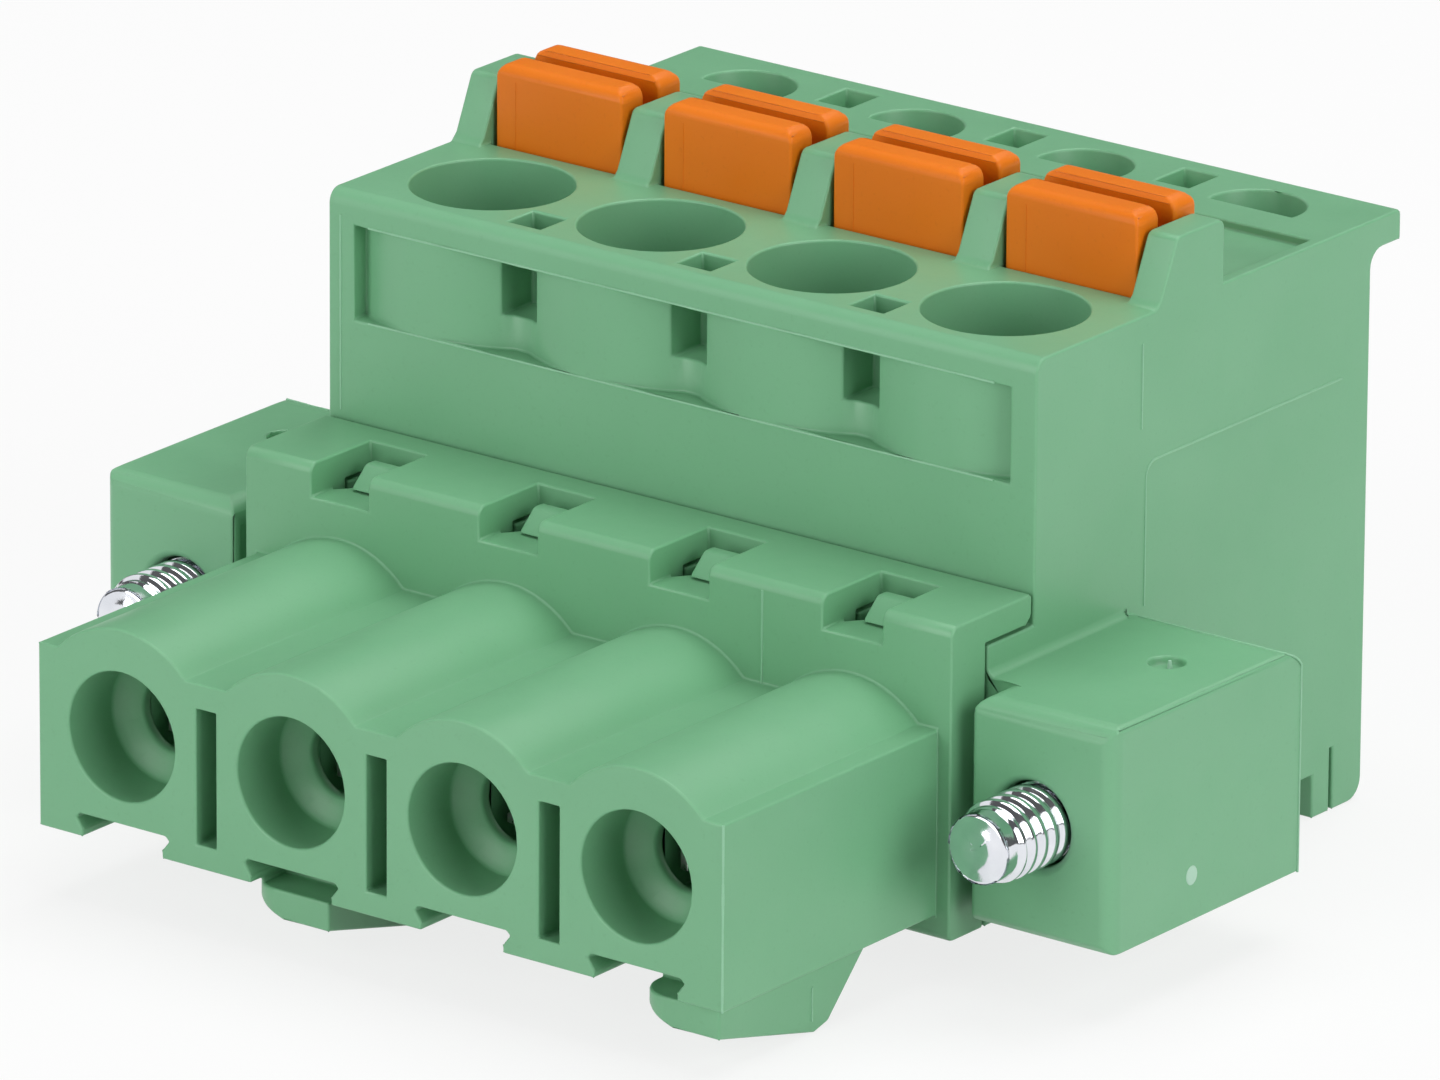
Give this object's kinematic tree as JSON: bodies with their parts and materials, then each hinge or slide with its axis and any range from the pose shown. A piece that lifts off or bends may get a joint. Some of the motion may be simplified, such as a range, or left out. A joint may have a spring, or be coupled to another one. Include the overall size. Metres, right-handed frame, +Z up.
{
  "type": "pluggable terminal block",
  "caption": "Pluggable push-in terminal block: moulded nose with a row of round sockets, paired release buttons over each pole, and a captive screw in a flange at each end.",
  "frame": {"origin": "middle of the part's bounding box, at its underside", "axes": "+X along the row of poles, +Y from the plug nose to the wire side, +Z up out of the wire entries"},
  "size_m": [0.045, 0.039, 0.0249],
  "materials": {
    "housing": "satin moulded, fine texture",
    "plug": "satin moulded",
    "contact": "tin plated",
    "spring": "bright strip",
    "button": "satin moulded",
    "screw": "bright zinc plated"
  },
  "bodies": {
    "housing": {"terminal_housing": "housing", "plug_housing": "plug", "contact_1": "contact", "contact_2": "contact", "contact_3": "contact", "contact_4": "contact", "front_spring_1": "spring", "front_spring_2": "spring", "front_spring_3": "spring", "front_spring_4": "spring", "rear_spring_1": "spring", "rear_spring_2": "spring", "rear_spring_3": "spring", "rear_spring_4": "spring"},
    "front_button_1": {"front_button_1": "button"},
    "front_button_2": {"front_button_2": "button"},
    "front_button_3": {"front_button_3": "button"},
    "front_button_4": {"front_button_4": "button"},
    "rear_button_1": {"rear_button_1": "button"},
    "rear_button_2": {"rear_button_2": "button"},
    "rear_button_3": {"rear_button_3": "button"},
    "rear_button_4": {"rear_button_4": "button"},
    "flange_screw_left": {"flange_screw_left": "screw"},
    "flange_screw_right": {"flange_screw_right": "screw"}
  },
  "joints": [
    {"name": "front_press_1", "type": "slide", "parent": "housing", "child": "front_button_1", "axis": [0, 0, -1], "range_m": [0, 0.002], "stiffness_N_per_m": 4000, "deforming": ["front_spring_1"]},
    {"name": "front_press_2", "type": "slide", "parent": "housing", "child": "front_button_2", "axis": [0, 0, -1], "range_m": [0, 0.002], "stiffness_N_per_m": 4000, "deforming": ["front_spring_2"]},
    {"name": "front_press_3", "type": "slide", "parent": "housing", "child": "front_button_3", "axis": [0, 0, -1], "range_m": [0, 0.002], "stiffness_N_per_m": 4000, "deforming": ["front_spring_3"]},
    {"name": "front_press_4", "type": "slide", "parent": "housing", "child": "front_button_4", "axis": [0, 0, -1], "range_m": [0, 0.002], "stiffness_N_per_m": 4000, "deforming": ["front_spring_4"]},
    {"name": "rear_press_1", "type": "slide", "parent": "housing", "child": "rear_button_1", "axis": [0, 0, -1], "range_m": [0, 0.002], "stiffness_N_per_m": 4000, "deforming": ["rear_spring_1"]},
    {"name": "rear_press_2", "type": "slide", "parent": "housing", "child": "rear_button_2", "axis": [0, 0, -1], "range_m": [0, 0.002], "stiffness_N_per_m": 4000, "deforming": ["rear_spring_2"]},
    {"name": "rear_press_3", "type": "slide", "parent": "housing", "child": "rear_button_3", "axis": [0, 0, -1], "range_m": [0, 0.002], "stiffness_N_per_m": 4000, "deforming": ["rear_spring_3"]},
    {"name": "rear_press_4", "type": "slide", "parent": "housing", "child": "rear_button_4", "axis": [0, 0, -1], "range_m": [0, 0.002], "stiffness_N_per_m": 4000, "deforming": ["rear_spring_4"]},
    {"name": "screw_turn_left", "type": "hinge", "parent": "housing", "child": "flange_screw_left", "pos_m": [-0.01905, -0.00193, 0.0067], "axis": [0, 1, 0], "continuous": true},
    {"name": "screw_turn_right", "type": "hinge", "parent": "housing", "child": "flange_screw_right", "pos_m": [0.01905, -0.00193, 0.0067], "axis": [0, 1, 0], "continuous": true}
  ]
}
